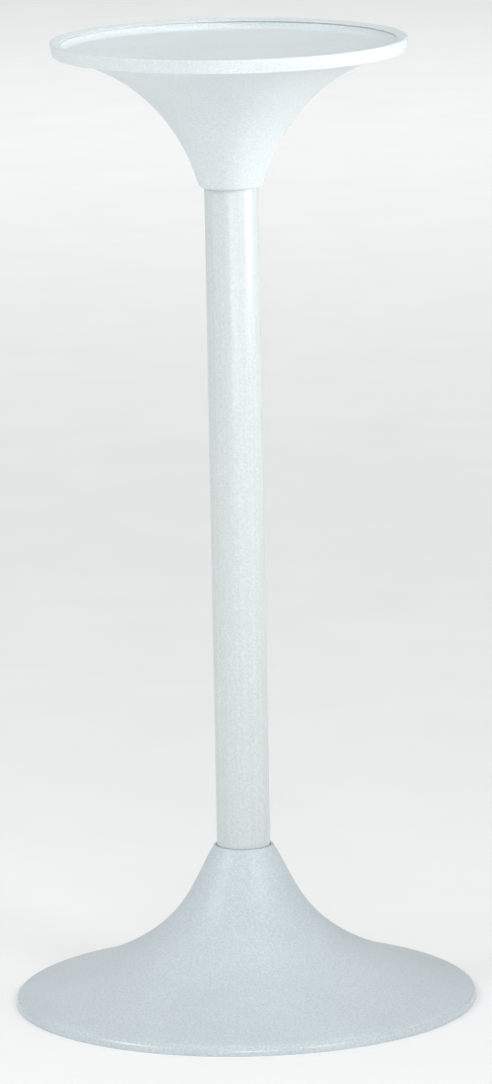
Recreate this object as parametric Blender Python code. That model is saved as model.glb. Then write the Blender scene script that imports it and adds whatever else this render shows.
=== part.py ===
"""A white plastic display pedestal: a trumpet-shaped base, a plain tube, and a funnel that carries a
shallow round tray. Every piece is turned about the Z axis. The origin is on the floor, under the
middle of the stand. Sizes are in metres."""

import math

import bmesh
import bpy
import numpy as np

MM = 0.001

# Overall sizes
HEIGHT = 727 * MM
BASE_RADIUS = 173.5 * MM
RIM_RADIUS = 132 * MM

# Tube
TUBE_RADIUS = 20 * MM
TUBE_WALL = 2 * MM
SOCKET_DEPTH = 40 * MM

# Moulded walls
SHELL_WALL = 2.4 * MM
NECK_WALL = 4 * MM
STOP_THICKNESS = 3 * MM
STOP_WIDTH = 5 * MM

# Gap between a piece and the one that it touches
GAP = 0.3 * MM

# Base: the collar holds the tube, the cone runs out into a shallow skirt. A reach is how far the
# flare keeps its first direction, as a share of the flare's height (cone) or width (skirt).
COLLAR_HEIGHT = 119.2 * MM
COLLAR_SLOPE = math.radians(59.3)
COLLAR_LIP_RADIUS = 1.1 * MM
CONE_REACH = 0.402
SKIRT_HEIGHT = 10.2 * MM
SKIRT_SLOPE = math.radians(17)
SKIRT_REACH = 0.887
EDGE_WIDTH = 12.6 * MM
EDGE_FOOT = 2.8 * MM
EDGE_TOP_REACH = 0.6
EDGE_FOOT_REACH = 0.55
FOOT_CHAMFER = 0.4 * MM

# Funnel: the neck sits on the tube, the mouth carries the tray. The reaches are shares as above.
FUNNEL_HEIGHT = 99.3 * MM
NECK_SLOPE = math.radians(73)
NECK_REACH = 0.4995
NECK_EDGE_RADIUS = 2.8 * MM
MOUTH_SLOPE = math.radians(16.6)
MOUTH_REACH = 0.571

# Tray
RIM_OVERHANG = 10.5 * MM
BAND_HEIGHT = 10.3 * MM
BAND_DRAFT = 2.1 * MM
BAND_EDGE_RADIUS = 0.6 * MM
RIM_WIDTH = 8 * MM
RIM_FALL = 1.5 * MM
RIM_EDGE_RADIUS = 1.4 * MM
FLOOR_THICKNESS = 2.5 * MM
COVE_RADIUS = 5.5 * MM
RIB_THICKNESS = 2 * MM
RIB_INSET = 12 * MM

# Roundness: flats around a piece, and steps along each curve of its section
SEGMENTS = 56
FLARE_STEPS = 11
BASE_INNER_STEPS = 10
FUNNEL_INNER_STEPS = 7
EDGE_STEPS = 4
COVE_STEPS = 4
CORNER_STEPS = 3
FINE_STEPS = 80
MERGE_DISTANCE = 0.01 * MM
SHARP_ANGLE = math.radians(35)

# Worked out from the sizes above
BORE_RADIUS = TUBE_RADIUS + GAP
COLLAR_RADIUS = BORE_RADIUS + SHELL_WALL
NECK_RADIUS = BORE_RADIUS + NECK_WALL
STOP_RADIUS = BORE_RADIUS - STOP_WIDTH
MOUTH_RADIUS = RIM_RADIUS - RIM_OVERHANG
BAND_BOTTOM = HEIGHT - BAND_HEIGHT
MOUTH_HEIGHT = BAND_BOTTOM - GAP
NECK_HEIGHT = MOUTH_HEIGHT - FUNNEL_HEIGHT
TUBE_BOTTOM = COLLAR_HEIGHT - SOCKET_DEPTH + GAP
TUBE_TOP = NECK_HEIGHT + SOCKET_DEPTH - GAP


def toward(point, angle, distance):
    """The point that lies this far away in the direction of the angle, measured up from level."""
    return (point[0] + distance * math.cos(angle), point[1] + distance * math.sin(angle))


def curve(start, start_pull, end_pull, end, steps):
    """Points along a smooth curve that leaves start for start_pull and reaches end from end_pull."""
    t = np.linspace(0, 1, steps + 1)[:, None]
    points = [np.array(p) for p in (start, start_pull, end_pull, end)]
    shares = ((1 - t) ** 3, 3 * (1 - t) ** 2 * t, 3 * (1 - t) * t**2, t**3)
    return sum(share * point for share, point in zip(shares, points))


def arc(centre, radius, start, end, steps):
    """Points on a circle in the profile's plane, from one angle in degrees to another."""
    angles = np.radians(np.linspace(start, end, steps + 1))
    return np.stack([centre[0] + radius * np.cos(angles), centre[1] + radius * np.sin(angles)], axis=1)


def offset(points, distance):
    """The same curve moved sideways, to the right of the way it runs."""
    along = np.gradient(points, axis=0)
    along /= np.linalg.norm(along, axis=1)[:, None]
    return points + distance * np.stack([along[:, 1], -along[:, 0]], axis=1)


def cut_at(points, column, value):
    """The curve up to where its radius (column 0) or height (column 1) reaches the value."""
    signs = np.sign(points[:, column] - value)
    last = int(np.argmax(signs != signs[0]))
    before, after = points[last - 1], points[last]
    share = (value - before[column]) / (after[column] - before[column])
    return np.vstack([points[:last], before + share * (after - before)])


def thinned(points, steps):
    """The curve with fewer points, evenly spaced along it."""
    length = np.concatenate([[0], np.cumsum(np.linalg.norm(np.diff(points, axis=0), axis=1))])
    wanted = np.linspace(0, length[-1], steps + 1)
    return np.stack([np.interp(wanted, length, points[:, i]) for i in (0, 1)], axis=1)


def base_flare(steps):
    """Outer outline of the base from the collar's lip out to the skirt's edge."""
    start = (COLLAR_RADIUS, COLLAR_HEIGHT - COLLAR_LIP_RADIUS)
    end = (BASE_RADIUS - EDGE_WIDTH, SKIRT_HEIGHT)
    cone_pull = toward(start, -COLLAR_SLOPE, CONE_REACH * (start[1] - end[1]))
    skirt_pull = toward(end, math.pi - SKIRT_SLOPE, SKIRT_REACH * (end[0] - start[0]))
    return curve(start, cone_pull, skirt_pull, end, steps)


def base_edge(steps):
    """Rounded edge of the skirt, from its end down to the floor."""
    start = (BASE_RADIUS - EDGE_WIDTH, SKIRT_HEIGHT)
    end = (BASE_RADIUS, EDGE_FOOT)
    top_pull = toward(start, -SKIRT_SLOPE, EDGE_TOP_REACH * EDGE_WIDTH)
    foot_pull = (BASE_RADIUS, EDGE_FOOT + EDGE_FOOT_REACH * (SKIRT_HEIGHT - EDGE_FOOT))
    return curve(start, top_pull, foot_pull, end, steps)


def base_profile():
    """Section of the base's wall, a closed loop."""
    lip_bottom = COLLAR_HEIGHT - COLLAR_LIP_RADIUS
    lip = arc((COLLAR_RADIUS - COLLAR_LIP_RADIUS, lip_bottom), COLLAR_LIP_RADIUS, 90, 0, CORNER_STEPS)
    outside = np.vstack([base_flare(FLARE_STEPS), base_edge(EDGE_STEPS)[1:]])
    fine = np.vstack([base_flare(FINE_STEPS), base_edge(FINE_STEPS // EDGE_STEPS)[1:]])
    inside = cut_at(offset(fine, SHELL_WALL)[::-1], 0, COLLAR_RADIUS)
    foot = [(BASE_RADIUS - FOOT_CHAMFER, 0), (BASE_RADIUS - SHELL_WALL, 0)]
    stop = COLLAR_HEIGHT - SOCKET_DEPTH
    socket = [
        (COLLAR_RADIUS, stop - STOP_THICKNESS),
        (STOP_RADIUS, stop - STOP_THICKNESS),
        (STOP_RADIUS, stop),
        (BORE_RADIUS, stop),
        (BORE_RADIUS, lip_bottom),
    ]
    return np.vstack([lip[:-1], outside, foot, thinned(inside, BASE_INNER_STEPS), socket])


def tube_profile():
    """Section of the pipe's wall, a closed loop."""
    inner = TUBE_RADIUS - TUBE_WALL
    return [(inner, TUBE_TOP), (TUBE_RADIUS, TUBE_TOP), (TUBE_RADIUS, TUBE_BOTTOM), (inner, TUBE_BOTTOM)]


def funnel_flare(steps):
    """Outer outline of the funnel from the mouth's edge down to the neck."""
    start = (MOUTH_RADIUS, MOUTH_HEIGHT)
    end = (NECK_RADIUS, NECK_HEIGHT + NECK_EDGE_RADIUS)
    mouth_pull = toward(start, math.pi + MOUTH_SLOPE, MOUTH_REACH * (start[0] - end[0]))
    neck_pull = toward(end, NECK_SLOPE, NECK_REACH * (start[1] - end[1]))
    return curve(start, mouth_pull, neck_pull, end, steps)


def funnel_inside():
    """Inner face of the flare, from where it leaves the socket up to the level mouth."""
    inside = offset(funnel_flare(FINE_STEPS), SHELL_WALL)[::-1]
    inside = inside[inside[:, 0] > COLLAR_RADIUS]
    return cut_at(inside, 1, MOUTH_HEIGHT)


def funnel_profile():
    """Section of the funnel's wall, a closed loop."""
    edge_middle = (NECK_RADIUS - NECK_EDGE_RADIUS, NECK_HEIGHT + NECK_EDGE_RADIUS)
    neck_edge = arc(edge_middle, NECK_EDGE_RADIUS, 0, -90, CORNER_STEPS)
    stop = NECK_HEIGHT + SOCKET_DEPTH
    socket = [
        (BORE_RADIUS, NECK_HEIGHT),
        (BORE_RADIUS, stop),
        (STOP_RADIUS, stop),
        (STOP_RADIUS, stop + STOP_THICKNESS),
        (COLLAR_RADIUS, stop + STOP_THICKNESS),
    ]
    inside = thinned(funnel_inside(), FUNNEL_INNER_STEPS)
    return np.vstack([funnel_flare(FLARE_STEPS), neck_edge[1:], socket, inside])


def tray_profile():
    """Section of the tray, from the middle of its floor out over the rim and back underneath."""
    floor = BAND_BOTTOM + FLOOR_THICKNESS
    rim_inside = RIM_RADIUS - RIM_WIDTH
    rim_edge = HEIGHT - RIM_FALL
    cove = arc((rim_inside - COVE_RADIUS, floor + COVE_RADIUS), COVE_RADIUS, -90, 0, COVE_STEPS)
    corner = (RIM_RADIUS - RIM_EDGE_RADIUS, HEIGHT - RIM_EDGE_RADIUS)
    top_edge = arc(corner, RIM_EDGE_RADIUS, 90, 0, CORNER_STEPS)
    band_foot = RIM_RADIUS - BAND_DRAFT
    groove_top = rim_edge - SHELL_WALL
    rib_radius = funnel_inside()[-1][0] - RIB_INSET
    rib_bottom = cut_at(funnel_inside(), 0, rib_radius)[-1][1] + GAP
    under = [
        (band_foot, BAND_BOTTOM + BAND_EDGE_RADIUS),
        (band_foot - BAND_EDGE_RADIUS, BAND_BOTTOM),
        (band_foot - SHELL_WALL, BAND_BOTTOM),
        (RIM_RADIUS - SHELL_WALL - RIM_EDGE_RADIUS, groove_top),
        (rim_inside + SHELL_WALL, groove_top),
        (rim_inside + SHELL_WALL, BAND_BOTTOM),
        (rib_radius, BAND_BOTTOM),
        (rib_radius, rib_bottom),
        (rib_radius - RIB_THICKNESS, rib_bottom),
        (rib_radius - RIB_THICKNESS, BAND_BOTTOM),
        (0, BAND_BOTTOM),
    ]
    return np.vstack([[(0, floor)], cove, [(rim_inside, rim_edge)], top_edge, under])


def plastic(name, colour, roughness):
    """A plain opaque plastic of this colour, given as linear red, green and blue."""
    material = bpy.data.materials.new(name)
    material.use_nodes = True
    shader = material.node_tree.nodes["Principled BSDF"]
    shader.inputs["Base Color"].default_value = (*colour, 1)
    shader.inputs["Roughness"].default_value = roughness
    shader.inputs["Metallic"].default_value = 0
    return material


def turned(name, profile, closed, material):
    """A solid made by spinning a section round the Z axis. A section that isn't closed ends on the axis."""
    shape = bmesh.new()
    points = [shape.verts.new((radius, 0, height)) for radius, height in profile]
    pairs = list(zip(points, points[1:]))
    if closed:
        pairs.append((points[-1], points[0]))
    edges = [shape.edges.new(pair) for pair in pairs]
    bmesh.ops.spin(
        shape,
        geom=points + edges,
        cent=(0, 0, 0),
        axis=(0, 0, 1),
        angle=2 * math.pi,
        steps=SEGMENTS,
        use_merge=True,
    )
    bmesh.ops.remove_doubles(shape, verts=shape.verts, dist=MERGE_DISTANCE)
    bmesh.ops.recalc_face_normals(shape, faces=shape.faces)
    mesh = bpy.data.meshes.new(name)
    shape.to_mesh(mesh)
    shape.free()
    mesh.shade_smooth()
    mesh.set_sharp_from_angle(angle=SHARP_ANGLE)
    mesh.materials.append(material)
    piece = bpy.data.objects.new(name, mesh)
    bpy.context.scene.collection.objects.link(piece)
    return piece


def main():
    """Clears the scene and builds the four pieces where they stand in the finished pedestal."""
    for old in list(bpy.data.objects):
        bpy.data.objects.remove(old)
    moulded = (0.72, 0.78, 0.80)
    extruded = (0.74, 0.78, 0.76)
    pale = (0.78, 0.82, 0.82)
    turned("base", base_profile(), True, plastic("base plastic", moulded, 0.42))
    turned("tube", tube_profile(), True, plastic("tube plastic", extruded, 0.45))
    turned("funnel", funnel_profile(), True, plastic("funnel plastic", moulded, 0.42))
    turned("tray", tray_profile(), False, plastic("tray plastic", pale, 0.4))


main()
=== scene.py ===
"""The finish of a white plastic display pedestal: a trumpet-shaped base, an extruded tube, and a
funnel that carries a shallow round tray. Each piece is turned about the upright Z axis, from an
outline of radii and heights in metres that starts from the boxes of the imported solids."""

import math

import bpy
from mathutils import Matrix, Vector


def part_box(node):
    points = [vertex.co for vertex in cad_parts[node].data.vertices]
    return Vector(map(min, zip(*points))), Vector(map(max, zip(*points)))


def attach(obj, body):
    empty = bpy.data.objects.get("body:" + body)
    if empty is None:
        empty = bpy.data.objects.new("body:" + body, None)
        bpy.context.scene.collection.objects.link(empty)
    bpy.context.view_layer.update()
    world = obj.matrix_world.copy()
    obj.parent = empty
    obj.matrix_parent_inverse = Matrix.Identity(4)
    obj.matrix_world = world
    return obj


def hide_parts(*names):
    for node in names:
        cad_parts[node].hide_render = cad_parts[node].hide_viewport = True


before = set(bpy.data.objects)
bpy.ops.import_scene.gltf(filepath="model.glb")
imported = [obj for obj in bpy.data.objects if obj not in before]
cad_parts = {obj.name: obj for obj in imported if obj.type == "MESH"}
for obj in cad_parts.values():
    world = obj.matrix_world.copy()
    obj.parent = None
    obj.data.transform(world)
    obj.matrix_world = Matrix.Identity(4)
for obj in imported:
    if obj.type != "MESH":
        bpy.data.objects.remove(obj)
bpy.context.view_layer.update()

MM = 0.001
DEG = math.pi / 180

# Main sizes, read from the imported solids
base_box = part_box("base")
tube_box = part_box("tube")
funnel_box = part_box("funnel")
tray_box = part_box("tray")
BASE_RADIUS = base_box[1].x
COLLAR_HEIGHT = base_box[1].z
TUBE_RADIUS = tube_box[1].x
TUBE_BOTTOM = tube_box[0].z
TUBE_TOP = tube_box[1].z
MOUTH_RADIUS = funnel_box[1].x
NECK_HEIGHT = funnel_box[0].z
MOUTH_HEIGHT = funnel_box[1].z
RIM_RADIUS = tray_box[1].x
RIM_HEIGHT = tray_box[1].z
RIB_BOTTOM = tray_box[0].z

# Walls and sockets
GAP = 0.3 * MM
TUBE_WALL = 2 * MM
SHELL_WALL = 2.4 * MM
NECK_WALL = 4 * MM
STOP_THICKNESS = 3 * MM
STOP_WIDTH = 5 * MM
BORE_RADIUS = TUBE_RADIUS + GAP
COLLAR_RADIUS = BORE_RADIUS + SHELL_WALL
NECK_RADIUS = BORE_RADIUS + NECK_WALL
STOP_RADIUS = BORE_RADIUS - STOP_WIDTH

# Base
COLLAR_SLOPE = 59.3 * DEG
COLLAR_LIP_RADIUS = 1.1 * MM
BORE_CHAMFER = 0.4 * MM
CONE_REACH = 0.402
SKIRT_HEIGHT = 10.2 * MM
SKIRT_SLOPE = 17 * DEG
SKIRT_REACH = 0.887
EDGE_WIDTH = 12.6 * MM
EDGE_FOOT = 2.8 * MM
EDGE_TOP_REACH = 0.6
EDGE_FOOT_REACH = 0.55
FOOT_CHAMFER = 0.4 * MM
RIM_BEND_INSET = 5 * MM
RIM_BEND_SIZE = 1.6 * MM
TOE_HEIGHT = 4.8 * MM
TOE_SIZE = 2.4 * MM
RUBBED_HEIGHT = 5.5 * MM

# Funnel
NECK_SLOPE = 73 * DEG
NECK_REACH = 0.4995
NECK_EDGE_RADIUS = 2.8 * MM
MOUTH_SLOPE = 16.6 * DEG
MOUTH_REACH = 0.571

# Tray
BAND_HEIGHT = 10.3 * MM
BAND_DRAFT = 2.1 * MM
BAND_EDGE_RADIUS = 0.6 * MM
RIM_WIDTH = 8 * MM
RIM_FALL = 1.5 * MM
RIM_EDGE_RADIUS = 1.4 * MM
RIM_INNER_RADIUS = 0.5 * MM
RIM_TOP_ANGLE = 102  # degrees, where both roundings meet the rim's sloping top
SHADOW_LINE_HEIGHT = 0.9 * MM
SHADOW_LINE_DEPTH = 1.3 * MM
SHADOW_LINE_DRAFT = 0.12 * MM
FLOOR_THICKNESS = 2.5 * MM
COVE_RADIUS = 5.5 * MM
RIB_THICKNESS = 2 * MM
RIB_INSET = 12 * MM
CENTRE_RADIUS = 4 * MM

# Fineness of the turned pieces
SIDES = 192
FLARE_STEPS = 48
ARC_STEPS = 8
CREASE_ANGLE = 30 * DEG
EASED_EDGE = 0.25 * MM
WELD_DISTANCE = 0.005 * MM

# The share of the way to the corner that bends a curve nearly as round as a circle
ROUND_PULL = 0.55

# Patterns of the plastics and the paper, by the width of one cloud, grain or line
CLOUD_WIDTH = 60 * MM
GRAIN_WIDTH = 1.6 * MM
DIE_LINE_WIDTH = 2 * MM
DIE_LINE_LENGTH = 500 * MM
MOTTLE_WIDTH = 120 * MM
PATTERN_DETAIL = 2
MOULDED_GRAIN_SHARE = 0.75
EXTRUDED_GRAIN_SHARE = 0.7
TONE_LOW = 0.35
TONE_HIGH = 0.65

# Sheen: how far the grain takes the roughness down and up, and how far rubbing takes it down
GRAIN_LOW = 0.3
GRAIN_HIGH = 0.7
SHEEN_DOWN = 0.04
SHEEN_UP = 0.05
RUBBED_SHARE = 0.5
RUBBED_FADE = 2 * MM


def toward(point, angle, distance):
    """The point that lies this far away in the direction of the angle, measured up from level."""
    return point + distance * Vector((math.cos(angle), math.sin(angle)))


def flare(start, start_pull, end_pull, end, steps):
    """A smooth curve that leaves start for start_pull and reaches end from end_pull."""
    points = []
    for step in range(steps + 1):
        t = step / steps
        s = 1 - t
        points.append(s**3 * start + 3 * s * s * t * start_pull + 3 * s * t * t * end_pull + t**3 * end)
    return points


def arc(centre, radius, start, end):
    """Points on a circle of the outline, from one angle in degrees to another."""
    angles = [(start + (end - start) * step / ARC_STEPS) * DEG for step in range(ARC_STEPS + 1)]
    return [toward(centre, angle, radius) for angle in angles]


def beside(points, distance):
    """The same curve moved sideways by this distance, to the right of the way it runs."""
    moved = []
    for i, point in enumerate(points):
        along = (points[min(i + 1, len(points) - 1)] - points[max(i - 1, 0)]).normalized()
        moved.append(point + distance * Vector((along.y, -along.x)))
    return moved


def bend(before, corner, after, size):
    """A rounded corner that starts and ends this far from the corner, along its two sides."""
    start = corner + size * (before - corner).normalized()
    end = corner + size * (after - corner).normalized()
    return flare(start, start.lerp(corner, ROUND_PULL), end.lerp(corner, ROUND_PULL), end, ARC_STEPS)


def crossing(points, axis, value):
    """Where the curve first passes this radius (axis 0) or height (axis 1)."""
    for before, after in zip(points, points[1:]):
        if (before[axis] - value) * (after[axis] - value) <= 0:
            return before.lerp(after, (value - before[axis]) / (after[axis] - before[axis]))


def base_outline():
    """Section of the base: over the lip, down the cone, round the foot and back up inside. At the
    foot the outside has two tight bends, and the inside turns down in one soft curve."""
    lip_centre = Vector((COLLAR_RADIUS - COLLAR_LIP_RADIUS, COLLAR_HEIGHT - COLLAR_LIP_RADIUS))
    lip = arc(lip_centre, COLLAR_LIP_RADIUS, 90, 0)
    shoulder = lip[-1]
    edge = Vector((BASE_RADIUS - EDGE_WIDTH, SKIRT_HEIGHT))
    cone_pull = toward(shoulder, -COLLAR_SLOPE, CONE_REACH * (shoulder.y - edge.y))
    skirt_pull = toward(edge, math.pi - SKIRT_SLOPE, SKIRT_REACH * (edge.x - shoulder.x))
    cone = flare(shoulder, cone_pull, skirt_pull, edge, FLARE_STEPS)
    foot = Vector((BASE_RADIUS, EDGE_FOOT))
    edge_pull = toward(edge, -SKIRT_SLOPE, EDGE_TOP_REACH * EDGE_WIDTH)
    foot_pull = foot + Vector((0, EDGE_FOOT_REACH * (SKIRT_HEIGHT - EDGE_FOOT)))
    rounding = flare(edge, edge_pull, foot_pull, foot, ARC_STEPS)
    inside = beside(cone + rounding[1:], SHELL_WALL)
    start = crossing(inside, 0, COLLAR_RADIUS)
    inside = [start] + [point for point in inside if point.x > start.x]
    sole = [Vector((BASE_RADIUS - FOOT_CHAMFER, 0)), Vector((BASE_RADIUS - SHELL_WALL, 0))]
    run = EDGE_WIDTH - RIM_BEND_INSET
    rim_bend = edge + Vector((run, -run * math.tan(SKIRT_SLOPE)))
    toe = Vector((BASE_RADIUS, TOE_HEIGHT))
    outside = cone + bend(edge, rim_bend, toe, RIM_BEND_SIZE) + bend(rim_bend, toe, sole[0], TOE_SIZE)
    stop = TUBE_BOTTOM - GAP
    socket = [
        Vector((COLLAR_RADIUS, stop - STOP_THICKNESS)),
        Vector((STOP_RADIUS, stop - STOP_THICKNESS)),
        Vector((STOP_RADIUS, stop)),
        Vector((BORE_RADIUS, stop)),
        Vector((BORE_RADIUS, COLLAR_HEIGHT - BORE_CHAMFER)),
    ]
    bore_edge = Vector((BORE_RADIUS + BORE_CHAMFER, COLLAR_HEIGHT))
    return [bore_edge] + lip[:-1] + outside + sole + inside[::-1] + socket


def funnel_walls():
    """Outer outline of the funnel from the mouth down to the neck, and the inner one up again."""
    mouth = Vector((MOUTH_RADIUS, MOUTH_HEIGHT))
    neck = Vector((NECK_RADIUS, NECK_HEIGHT + NECK_EDGE_RADIUS))
    mouth_pull = toward(mouth, math.pi + MOUTH_SLOPE, MOUTH_REACH * (mouth.x - neck.x))
    neck_pull = toward(neck, NECK_SLOPE, NECK_REACH * (mouth.y - neck.y))
    outside = flare(mouth, mouth_pull, neck_pull, neck, FLARE_STEPS)
    inside = beside(outside, SHELL_WALL)
    top = crossing(inside, 1, MOUTH_HEIGHT)
    inside = [top] + [point for point in inside if point.y < top.y and point.x > COLLAR_RADIUS]
    return outside, inside[::-1]


def funnel_outline():
    """Section of the funnel: down the flare, round the neck's edge, through the socket and up inside."""
    outside, inside = funnel_walls()
    edge_centre = Vector((NECK_RADIUS - NECK_EDGE_RADIUS, NECK_HEIGHT + NECK_EDGE_RADIUS))
    stop = TUBE_TOP + GAP
    socket = [
        Vector((BORE_RADIUS, NECK_HEIGHT)),
        Vector((BORE_RADIUS, stop)),
        Vector((STOP_RADIUS, stop)),
        Vector((STOP_RADIUS, stop + STOP_THICKNESS)),
        Vector((COLLAR_RADIUS, stop + STOP_THICKNESS)),
    ]
    return outside + arc(edge_centre, NECK_EDGE_RADIUS, 0, -90)[1:] + socket + inside


def tray_outline():
    """Section of the tray: out over the floor, past the fine groove that draws a dark line under the
    rim's inner edge, over the rim, down the band and back underneath."""
    band_bottom = RIM_HEIGHT - BAND_HEIGHT
    floor = band_bottom + FLOOR_THICKNESS
    rim_inside = RIM_RADIUS - RIM_WIDTH
    rim_edge = RIM_HEIGHT - RIM_FALL
    band_foot = RIM_RADIUS - BAND_DRAFT
    groove_top = rim_edge - SHELL_WALL
    rib_radius = funnel_walls()[1][-1].x - RIB_INSET
    line_top = rim_edge - RIM_INNER_RADIUS - SHADOW_LINE_DRAFT
    line_foot = line_top - SHADOW_LINE_HEIGHT
    cove_centre = Vector((rim_inside - COVE_RADIUS, floor + COVE_RADIUS))
    cove_end = math.asin((line_foot - cove_centre.y) / COVE_RADIUS) / DEG
    cove = arc(cove_centre, COVE_RADIUS, -90, cove_end)
    line_back = rim_inside + SHADOW_LINE_DEPTH
    shadow_line = [
        Vector((line_back, line_foot + SHADOW_LINE_DRAFT)),
        Vector((line_back, line_top - SHADOW_LINE_DRAFT)),
        Vector((rim_inside, line_top)),
    ]
    inner_centre = Vector((rim_inside + RIM_INNER_RADIUS, rim_edge - RIM_INNER_RADIUS))
    inner_edge = arc(inner_centre, RIM_INNER_RADIUS, 180, RIM_TOP_ANGLE)
    outer_centre = Vector((RIM_RADIUS - RIM_EDGE_RADIUS, RIM_HEIGHT - RIM_EDGE_RADIUS))
    outer_edge = arc(outer_centre, RIM_EDGE_RADIUS, RIM_TOP_ANGLE, 0)
    foot_centre = Vector((band_foot - BAND_EDGE_RADIUS, band_bottom + BAND_EDGE_RADIUS))
    foot_edge = arc(foot_centre, BAND_EDGE_RADIUS, 0, -90)
    under = [
        Vector((band_foot - SHELL_WALL, band_bottom)),
        Vector((RIM_RADIUS - SHELL_WALL - RIM_EDGE_RADIUS, groove_top)),
        Vector((rim_inside + SHELL_WALL, groove_top)),
        Vector((rim_inside + SHELL_WALL, band_bottom)),
        Vector((rib_radius, band_bottom)),
        Vector((rib_radius, RIB_BOTTOM)),
        Vector((rib_radius - RIB_THICKNESS, RIB_BOTTOM)),
        Vector((rib_radius - RIB_THICKNESS, band_bottom)),
        Vector((CENTRE_RADIUS, band_bottom)),
    ]
    dish = [Vector((CENTRE_RADIUS, floor))] + cove + shadow_line
    return dish + inner_edge + outer_edge + foot_edge + under


def ring_up(name, outline):
    """Starts a piece with a ring of points and extrudes it, ring after ring, along the outline."""
    bpy.ops.object.select_all(action="DESELECT")
    first = outline[0]
    bpy.ops.mesh.primitive_circle_add(vertices=SIDES, radius=first.x, location=(0, 0, first.y))
    piece = bpy.context.object
    piece.name = name
    bpy.ops.object.transform_apply(location=True, rotation=True, scale=True)
    bpy.ops.object.mode_set(mode="EDIT")
    bpy.ops.mesh.select_mode(type="EDGE")
    bpy.ops.mesh.select_all(action="SELECT")
    for here, there in zip(outline, outline[1:]):
        rise = {"value": (0, 0, there.y - here.y)}
        bpy.ops.mesh.extrude_edges_move(TRANSFORM_OT_translate=rise)
        widen = there.x / here.x
        bpy.ops.transform.resize(value=(widen, widen, 1), center_override=(0, 0, there.y))
    return piece


def close_wall():
    """Joins the last ring to the first, so that the section is a closed wall."""
    bpy.ops.mesh.select_all(action="DESELECT")
    bpy.ops.mesh.select_non_manifold()
    bpy.ops.mesh.bridge_edge_loops()


def close_centre():
    """Fills the two small rings at the middle of a disc, above and below."""
    bpy.ops.mesh.select_all(action="DESELECT")
    bpy.ops.mesh.select_non_manifold()
    bpy.ops.mesh.edge_face_add()


def ease(piece):
    """Eases the crisp edges by a hair, as a mould does, and leaves the flares smooth. Where two eased
    edges lie so close that they meet, their points are joined."""
    bevel = piece.modifiers.new("eased edges", "BEVEL")
    bevel.width = EASED_EDGE
    bevel.segments = 2
    bevel.limit_method = "ANGLE"
    bevel.angle_limit = CREASE_ANGLE
    bpy.ops.object.modifier_apply(modifier=bevel.name)
    bpy.ops.object.mode_set(mode="EDIT")
    bpy.ops.mesh.select_all(action="SELECT")
    bpy.ops.mesh.remove_doubles(threshold=WELD_DISTANCE)
    bpy.ops.object.mode_set(mode="OBJECT")


def finish_piece(piece, material, node):
    """Turns the faces outward, eases and smooths the piece, and puts it in the place of its solid."""
    bpy.ops.mesh.select_all(action="SELECT")
    bpy.ops.mesh.normals_make_consistent(inside=False)
    bpy.ops.object.mode_set(mode="OBJECT")
    ease(piece)
    bpy.ops.object.shade_smooth_by_angle(angle=CREASE_ANGLE)
    piece.data.materials.clear()
    piece.data.materials.append(material)
    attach(piece, "root")
    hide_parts(node)


def make_base(material):
    piece = ring_up("moulded_base", base_outline())
    close_wall()
    finish_piece(piece, material, "base")


def make_tube(material):
    """A pipe cut square: an open cylinder given its wall, with both ends eased."""
    bpy.ops.object.select_all(action="DESELECT")
    length = TUBE_TOP - TUBE_BOTTOM
    middle = (TUBE_TOP + TUBE_BOTTOM) / 2
    bpy.ops.mesh.primitive_cylinder_add(
        vertices=SIDES, radius=TUBE_RADIUS, depth=length, end_fill_type="NOTHING", location=(0, 0, middle)
    )
    piece = bpy.context.object
    piece.name = "extruded_tube"
    bpy.ops.object.transform_apply(location=True, rotation=True, scale=True)
    wall = piece.modifiers.new("wall", "SOLIDIFY")
    wall.thickness = TUBE_WALL
    wall.offset = -1
    wall.use_even_offset = True
    bpy.ops.object.modifier_apply(modifier=wall.name)
    bpy.ops.object.mode_set(mode="EDIT")
    finish_piece(piece, material, "tube")


def make_funnel(material):
    piece = ring_up("moulded_funnel", funnel_outline())
    close_wall()
    finish_piece(piece, material, "funnel")


def make_tray(material):
    piece = ring_up("moulded_tray", tray_outline())
    close_centre()
    finish_piece(piece, material, "tray")


def linear(hex_colour):
    """An sRGB hex colour as linear red, green, blue and alpha."""
    values = [int(hex_colour[i : i + 2], 16) / 255 for i in (1, 3, 5)]
    return tuple(v / 12.92 if v <= 0.04045 else ((v + 0.055) / 1.055) ** 2.4 for v in values) + (1,)


def add(tree, kind, settings, links):
    """Adds a node, gives it its settings and input values, and links its inputs."""
    node = tree.nodes.new(kind)
    for name, value in settings.items():
        if hasattr(node, name):
            setattr(node, name, value)
        else:
            node.inputs[name].default_value = value
    for name, source in links.items():
        tree.links.new(source, node.inputs[name])
    return node


def start_material(name, roughness, ior):
    """A plastic or paper with its shader's own values, and the socket that gives places on the object."""
    material = bpy.data.materials.new(name)
    material.use_nodes = True
    shader = material.node_tree.nodes["Principled BSDF"]
    shader.inputs["Roughness"].default_value = roughness
    shader.inputs["IOR"].default_value = ior
    shader.inputs["Metallic"].default_value = 0
    places = add(material.node_tree, "ShaderNodeTexCoord", {}, {})
    return material, material.node_tree, shader, places.outputs["Object"]


def two_tones(tree, pattern, low, high):
    """Spreads a pattern's values between two colours that lie close together."""
    ramp = add(tree, "ShaderNodeValToRGB", {}, {"Fac": pattern})
    ramp.color_ramp.elements[0].position = TONE_LOW
    ramp.color_ramp.elements[0].color = linear(low)
    ramp.color_ramp.elements[1].position = TONE_HIGH
    ramp.color_ramp.elements[1].color = linear(high)
    return ramp.outputs["Color"]


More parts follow.
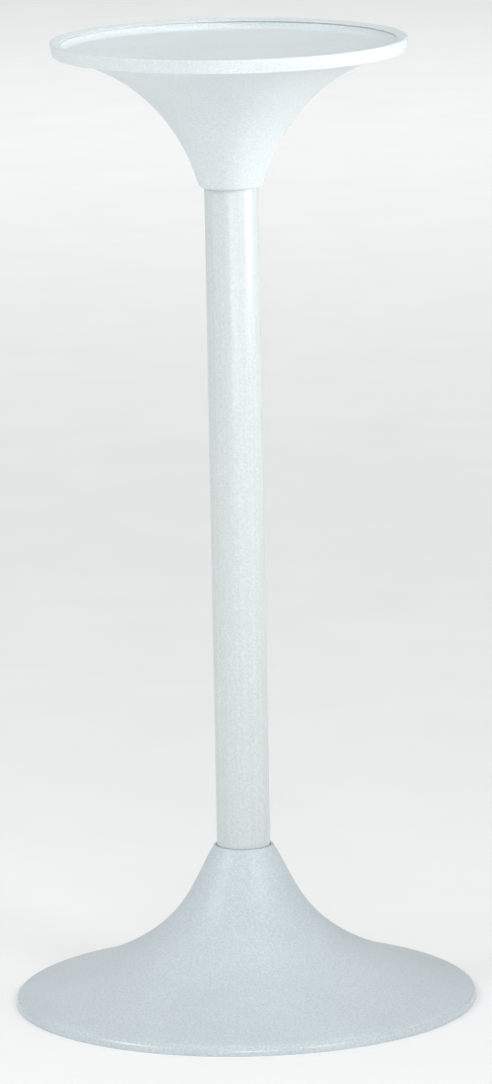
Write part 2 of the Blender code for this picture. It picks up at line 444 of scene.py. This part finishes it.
def fine_grain(tree, places):
    """The grain that a blasted mould or a die leaves. It is really 0.3 mm across, and is drawn at
    1.6 mm so that it shows at this distance."""
    grainy = {"Scale": 1 / GRAIN_WIDTH, "Detail": PATTERN_DETAIL}
    return add(tree, "ShaderNodeTexNoise", grainy, {"Vector": places}).outputs["Fac"]


def rubbed_lip(tree, places, roughness, top):
    """The roughness, halved below this height, where handling has rubbed the rounded edge smooth."""
    place = add(tree, "ShaderNodeSeparateXYZ", {}, {"Vector": places})
    wear = {"From Min": top, "From Max": top + RUBBED_FADE, "To Min": RUBBED_SHARE, "To Max": 1}
    share = add(tree, "ShaderNodeMapRange", wear, {"Value": place.outputs["Z"]})
    rubbed = add(tree, "ShaderNodeMath", {"operation": "MULTIPLY"}, {})
    tree.links.new(roughness, rubbed.inputs[0])
    tree.links.new(share.outputs["Result"], rubbed.inputs[1])
    return rubbed.outputs["Value"]


def moulded_polystyrene(name, shade, tint, roughness, lip_top=None):
    """Injection-moulded polystyrene, satin from a blasted mould. The eye sees a slightly cool white
    with soft highlights, a fine speckle, and a fine orange-peel in the gloss. A lip that is given by
    the height of its top is rubbed smoother, and catches the lights in streaks."""
    material, tree, shader, places = start_material(name, roughness, ior=1.59)
    # Faint clouds about 60 mm across, as the melt cools unevenly
    cloudy = {"Scale": 1 / CLOUD_WIDTH, "Detail": PATTERN_DETAIL}
    clouds = add(tree, "ShaderNodeTexNoise", cloudy, {"Vector": places})
    grain = fine_grain(tree, places)
    both = {"A": clouds.outputs["Fac"], "B": grain}
    pattern = add(tree, "ShaderNodeMix", {"Factor": MOULDED_GRAIN_SHARE}, both).outputs["Result"]
    tree.links.new(two_tones(tree, pattern, shade, tint), shader.inputs["Base Color"])
    sheen = {
        "From Min": GRAIN_LOW,
        "From Max": GRAIN_HIGH,
        "To Min": roughness - SHEEN_DOWN,
        "To Max": roughness + SHEEN_UP,
    }
    gloss = add(tree, "ShaderNodeMapRange", sheen, {"Value": grain}).outputs["Result"]
    if lip_top:
        gloss = rubbed_lip(tree, places, gloss, lip_top)
    tree.links.new(gloss, shader.inputs["Roughness"])
    bump = add(tree, "ShaderNodeBump", {"Strength": 0.16, "Distance": 0.06 * MM}, {"Height": grain})
    tree.links.new(bump.outputs["Normal"], shader.inputs["Normal"])
    return material


def extruded_pvc(name, shade, tint, roughness):
    """Extruded PVC pipe. The eye sees a slightly warmer white with a soft gloss, a fine speckle, and
    very faint straight lines that the die leaves along its length."""
    material, tree, shader, places = start_material(name, roughness, ior=1.54)
    # A die line is about 2 mm wide and runs on for half a metre
    along = {"Scale": (1 / DIE_LINE_WIDTH, 1 / DIE_LINE_WIDTH, 1 / DIE_LINE_LENGTH)}
    stretch = add(tree, "ShaderNodeMapping", along, {"Vector": places})
    streaky = {"Scale": 1, "Detail": PATTERN_DETAIL}
    lines = add(tree, "ShaderNodeTexNoise", streaky, {"Vector": stretch.outputs["Vector"]})
    grain = fine_grain(tree, places)
    both = {"A": lines.outputs["Fac"], "B": grain}
    pattern = add(tree, "ShaderNodeMix", {"Factor": EXTRUDED_GRAIN_SHARE}, both).outputs["Result"]
    tree.links.new(two_tones(tree, pattern, shade, tint), shader.inputs["Base Color"])
    bump = add(tree, "ShaderNodeBump", {"Strength": 0.1, "Distance": 0.05 * MM}, {"Height": pattern})
    tree.links.new(bump.outputs["Normal"], shader.inputs["Normal"])
    return material


def floor_paper():
    """Studio background paper, matt and very pale. The eye sees only a faint mottle in it."""
    name = "background paper, matt white"
    material, tree, shader, places = start_material(name, roughness=0.9, ior=1.5)
    mottled = {"Scale": 1 / MOTTLE_WIDTH, "Detail": PATTERN_DETAIL}
    mottle = add(tree, "ShaderNodeTexNoise", mottled, {"Vector": places})
    colour = two_tones(tree, mottle.outputs["Fac"], "#F8F9F9", "#FAFBFB")
    tree.links.new(colour, shader.inputs["Base Color"])
    return material


PAPER_SIZE = 120


def make_floor():
    """A wide sheet of pale paper, level with the foot of the base."""
    bpy.ops.object.select_all(action="DESELECT")
    bpy.ops.mesh.primitive_plane_add(size=PAPER_SIZE, location=(0, 0, base_box[0].z))
    floor = bpy.context.object
    floor.name = "paper_floor"
    floor.data.materials.append(floor_paper())


def add_light(name, place, target, size, power, spread=180 * DEG):
    """A soft square studio light at a place, facing a target, that the camera doesn't see."""
    data = bpy.data.lights.new(name, "AREA")
    data.size = size
    data.energy = power
    data.spread = spread
    light = bpy.data.objects.new(name, data)
    light.location = place
    light.rotation_euler = (Vector(target) - Vector(place)).to_track_quat("-Z", "Y").to_euler()
    light.visible_camera = False
    bpy.context.scene.collection.objects.link(light)


# The ring of lights for the far floor, in metres and watts
FLOOR_LIGHTS = 8
FLOOR_LIGHT_DISTANCE = 5.2
FLOOR_LIGHT_HEIGHT = 4
FLOOR_LIGHT_SIZE = 2
FLOOR_LIGHT_POWER = 21
FLOOR_LIGHT_SPREAD = 110 * DEG


def light_studio():
    """Soft light all round, two large lights at the sides, a low one in front, and a small one that
    reaches the tray and the top of the tube. A ring of lights keeps the far floor pale."""
    world = bpy.data.worlds.new("pale studio")
    world.use_nodes = True
    background = world.node_tree.nodes["Background"]
    background.inputs["Color"].default_value = linear("#FFFFFF")
    background.inputs["Strength"].default_value = 0.56
    bpy.context.scene.world = world
    middle = (0, 0, 0.35)
    base = (0, 0, 0.2)
    tray = (0, 0, 0.74)
    add_light("right_light", (1.8, -2.1, 2), middle, size=1, power=17)
    add_light("left_light", (-2.1, -0.8, 2), middle, size=1, power=15.3)
    add_light("top_light", (0, 0, 2.6), middle, size=1.5, power=8.5)
    add_light("low_light", (0.1, -2.2, 0.65), base, size=0.6, power=3.1, spread=110 * DEG)
    add_light("tray_light", (2.3, -0.6, 1.05), tray, size=0.5, power=1, spread=32 * DEG)
    for step in range(FLOOR_LIGHTS):
        turn = 2 * math.pi * step / FLOOR_LIGHTS
        place = Vector((math.sin(turn), math.cos(turn), 0)) * FLOOR_LIGHT_DISTANCE
        above = place + Vector((0, 0, FLOOR_LIGHT_HEIGHT))
        name = f"floor_light_{step + 1}"
        add_light(name, above, place, FLOOR_LIGHT_SIZE, FLOOR_LIGHT_POWER, FLOOR_LIGHT_SPREAD)
    bpy.context.scene.view_settings.view_transform = "Standard"


# The camera stands in front of the pedestal, far back and a little above it
CAMERA_DISTANCE = 5.313
CAMERA_HEIGHT = 1.3654
CAMERA_PITCH = 0.18889
CAMERA_YAW = 0.00113
CAMERA_ROLL = 0.0185
CAMERA_LENS = 241.1
CAMERA_REACH = 200


def set_camera():
    """Turns the camera down, a touch sideways and a touch about its own line of sight."""
    bpy.ops.object.select_all(action="DESELECT")
    bpy.ops.object.camera_add(location=(0, -CAMERA_DISTANCE, CAMERA_HEIGHT))
    camera = bpy.context.object
    aim = Matrix.Rotation(-CAMERA_YAW, 3, "Z") @ Matrix.Rotation(math.pi / 2 - CAMERA_PITCH, 3, "X")
    camera.rotation_euler = (aim @ Matrix.Rotation(-CAMERA_ROLL, 3, "Z")).to_euler()
    camera.data.lens = CAMERA_LENS
    camera.data.clip_end = CAMERA_REACH
    bpy.context.scene.camera = camera


# The base is the same plastic as the funnel, but its colours are set darker. This is painted shade for
# the light that falls off towards the foot.
cool_white_painted_shade = moulded_polystyrene(
    "moulded polystyrene, cool white darkened as painted shade", "#BBC6CB", "#CDD8DD", roughness=0.4, lip_top=RUBBED_HEIGHT
)
make_base(cool_white_painted_shade)
pipe_white = extruded_pvc("extruded PVC, off-white", "#C8D1CF", "#D7DFDD", roughness=0.34)
make_tube(pipe_white)
white = moulded_polystyrene("moulded polystyrene, white", "#CED7D9", "#DCE4E6", roughness=0.4)
make_funnel(white)
bright_white = moulded_polystyrene(
    "moulded polystyrene, bright white", "#D1DADC", "#DEE6E8", roughness=0.46
)
make_tray(bright_white)
make_floor()
light_studio()
set_camera()
